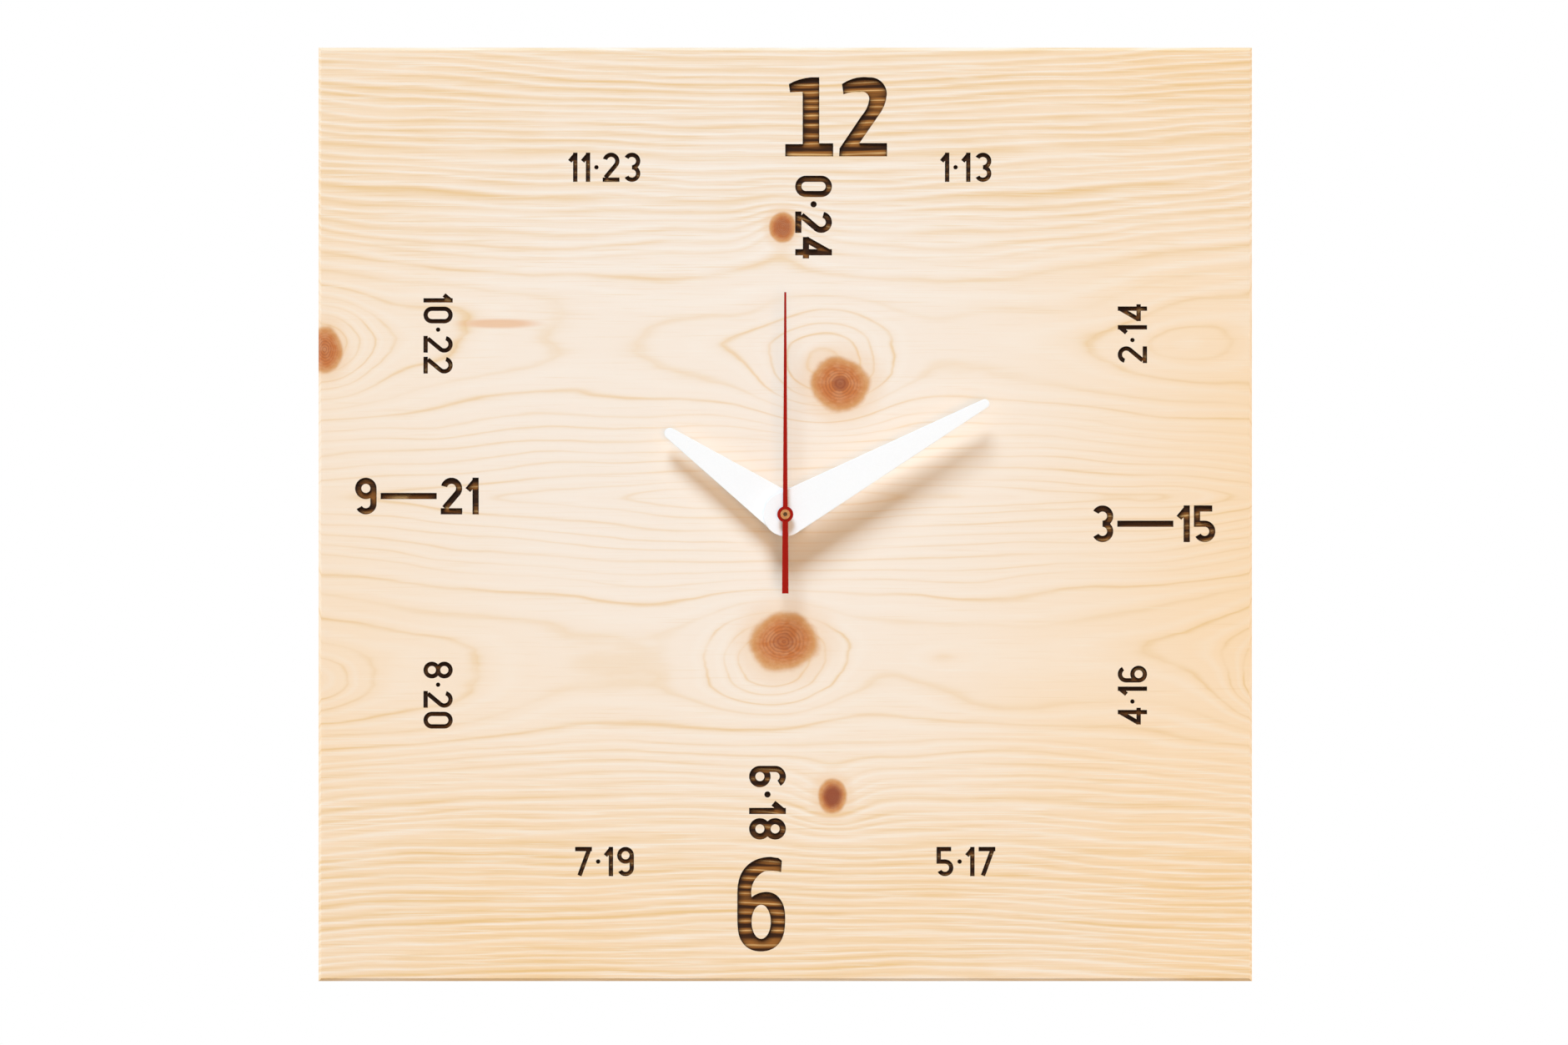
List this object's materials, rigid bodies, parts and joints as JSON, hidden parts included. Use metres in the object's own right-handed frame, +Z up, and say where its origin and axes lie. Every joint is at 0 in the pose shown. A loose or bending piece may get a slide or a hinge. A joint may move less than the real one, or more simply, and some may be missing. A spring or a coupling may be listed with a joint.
{
  "type": "wall clock",
  "caption": "Square pine wall clock with engraved, burnt numerals, white hour and minute hands, a red second hand and a battery quartz movement in a pocket behind.",
  "frame": {"origin": "centre of the hanger plate's round entry hole, on the plane of the wall", "axes": "+X right seen from the front, +Y into the wall, +Z up; the dial faces -Y"},
  "size_m": [0.3, 0.0355, 0.3],
  "materials": {
    "pine": "sanded, oiled pale, numerals burnt dark",
    "white_lacquer": "satin white",
    "red_lacquer": "satin red",
    "brass": "turned",
    "steel": "bright zinc",
    "motor_iron": "plain sheet",
    "black_plastic": "fine grain",
    "white_plastic": "plain",
    "copper": "enamelled wire",
    "magnet": "plain",
    "circuit": "plain",
    "resin": "glossy",
    "crystal_can": "bright",
    "rubber": "matt",
    "cell_can": "plain printed sleeve"
  },
  "bodies": {
    "clock": {"board": "pine", "hanger_plate": "steel", "hanger_screws": "steel", "front_case": "black_plastic", "rear_case": "black_plastic", "mid_plate": "white_plastic", "threaded_bush": "brass", "rubber_washer": "rubber", "dial_washer": "steel", "hex_nut": "brass", "stator": "motor_iron", "coil_core": "motor_iron", "coil_bobbin": "white_plastic", "coil_winding": "copper", "circuit_board": "circuit", "chip": "resin", "quartz_crystal": "crystal_can", "contact_minus": "steel", "contact_plus": "steel"},
    "minute_work": {"minute_arbor": "brass", "clutch_spring": "steel", "clutch_collar": "brass", "minute_hand": "white_lacquer"},
    "hour_work": {"hour_wheel": "white_plastic", "hour_hand": "white_lacquer"},
    "motion_work": {"motion_wheel": "white_plastic"},
    "setting_work": {"setting_pinion": "white_plastic", "setting_knob": "black_plastic"},
    "second_work": {"second_wheel": "white_plastic", "second_arbor": "steel", "second_hand": "red_lacquer", "second_bush": "brass"},
    "intermediate_work": {"intermediate_wheel": "white_plastic"},
    "rotor": {"rotor_magnet": "magnet", "rotor_pinion": "white_plastic"},
    "third_work": {"third_wheel": "white_plastic"},
    "centre_work": {"centre_wheel": "white_plastic"},
    "cell": {"battery": "cell_can"}
  },
  "joints": [
    {"name": "minute_turn", "type": "hinge", "parent": "clock", "child": "minute_work", "pos_m": [0, 0, -0.112], "axis": [0, 1, 0], "continuous": true},
    {"name": "hour_turn", "type": "hinge", "parent": "clock", "child": "hour_work", "pos_m": [0, 0, -0.112], "axis": [0, 1, 0], "continuous": true},
    {"name": "motion_turn", "type": "hinge", "parent": "clock", "child": "motion_work", "pos_m": [0.0084, 0, -0.112], "axis": [0, 1, 0], "continuous": true},
    {"name": "setting_turn", "type": "hinge", "parent": "clock", "child": "setting_work", "pos_m": [0.0175, 0, -0.112], "axis": [0, 1, 0], "continuous": true},
    {"name": "second_turn", "type": "hinge", "parent": "clock", "child": "second_work", "pos_m": [0, 0, -0.112], "axis": [0, 1, 0], "continuous": true},
    {"name": "third_turn", "type": "hinge", "parent": "clock", "child": "third_work", "pos_m": [-0.0072, 0, -0.112], "axis": [0, 1, 0], "continuous": true},
    {"name": "centre_turn", "type": "hinge", "parent": "clock", "child": "centre_work", "pos_m": [0, 0, -0.112], "axis": [0, 1, 0], "continuous": true},
    {"name": "intermediate_turn", "type": "hinge", "parent": "clock", "child": "intermediate_work", "pos_m": [-0.00251, 0, -0.10509], "axis": [0, 1, 0], "continuous": true},
    {"name": "rotor_turn", "type": "hinge", "parent": "clock", "child": "rotor", "pos_m": [-0.00065, 0, -0.09814], "axis": [0, 1, 0], "continuous": true},
    {"name": "battery_lift", "type": "slide", "parent": "clock", "child": "cell", "axis": [0, 1, 0], "range_m": [0, 0.03]}
  ],
  "couplings": [
    {"joint": "hour_turn", "follows": "minute_turn", "ratio": 0.083333},
    {"joint": "motion_turn", "follows": "minute_turn", "ratio": -0.33333},
    {"joint": "setting_turn", "follows": "minute_turn", "ratio": 0.75},
    {"joint": "third_turn", "follows": "second_turn", "ratio": -0.13333},
    {"joint": "centre_turn", "follows": "second_turn", "ratio": 0.016667},
    {"joint": "intermediate_turn", "follows": "second_turn", "ratio": -6},
    {"joint": "rotor_turn", "follows": "second_turn", "ratio": 30}
  ]
}
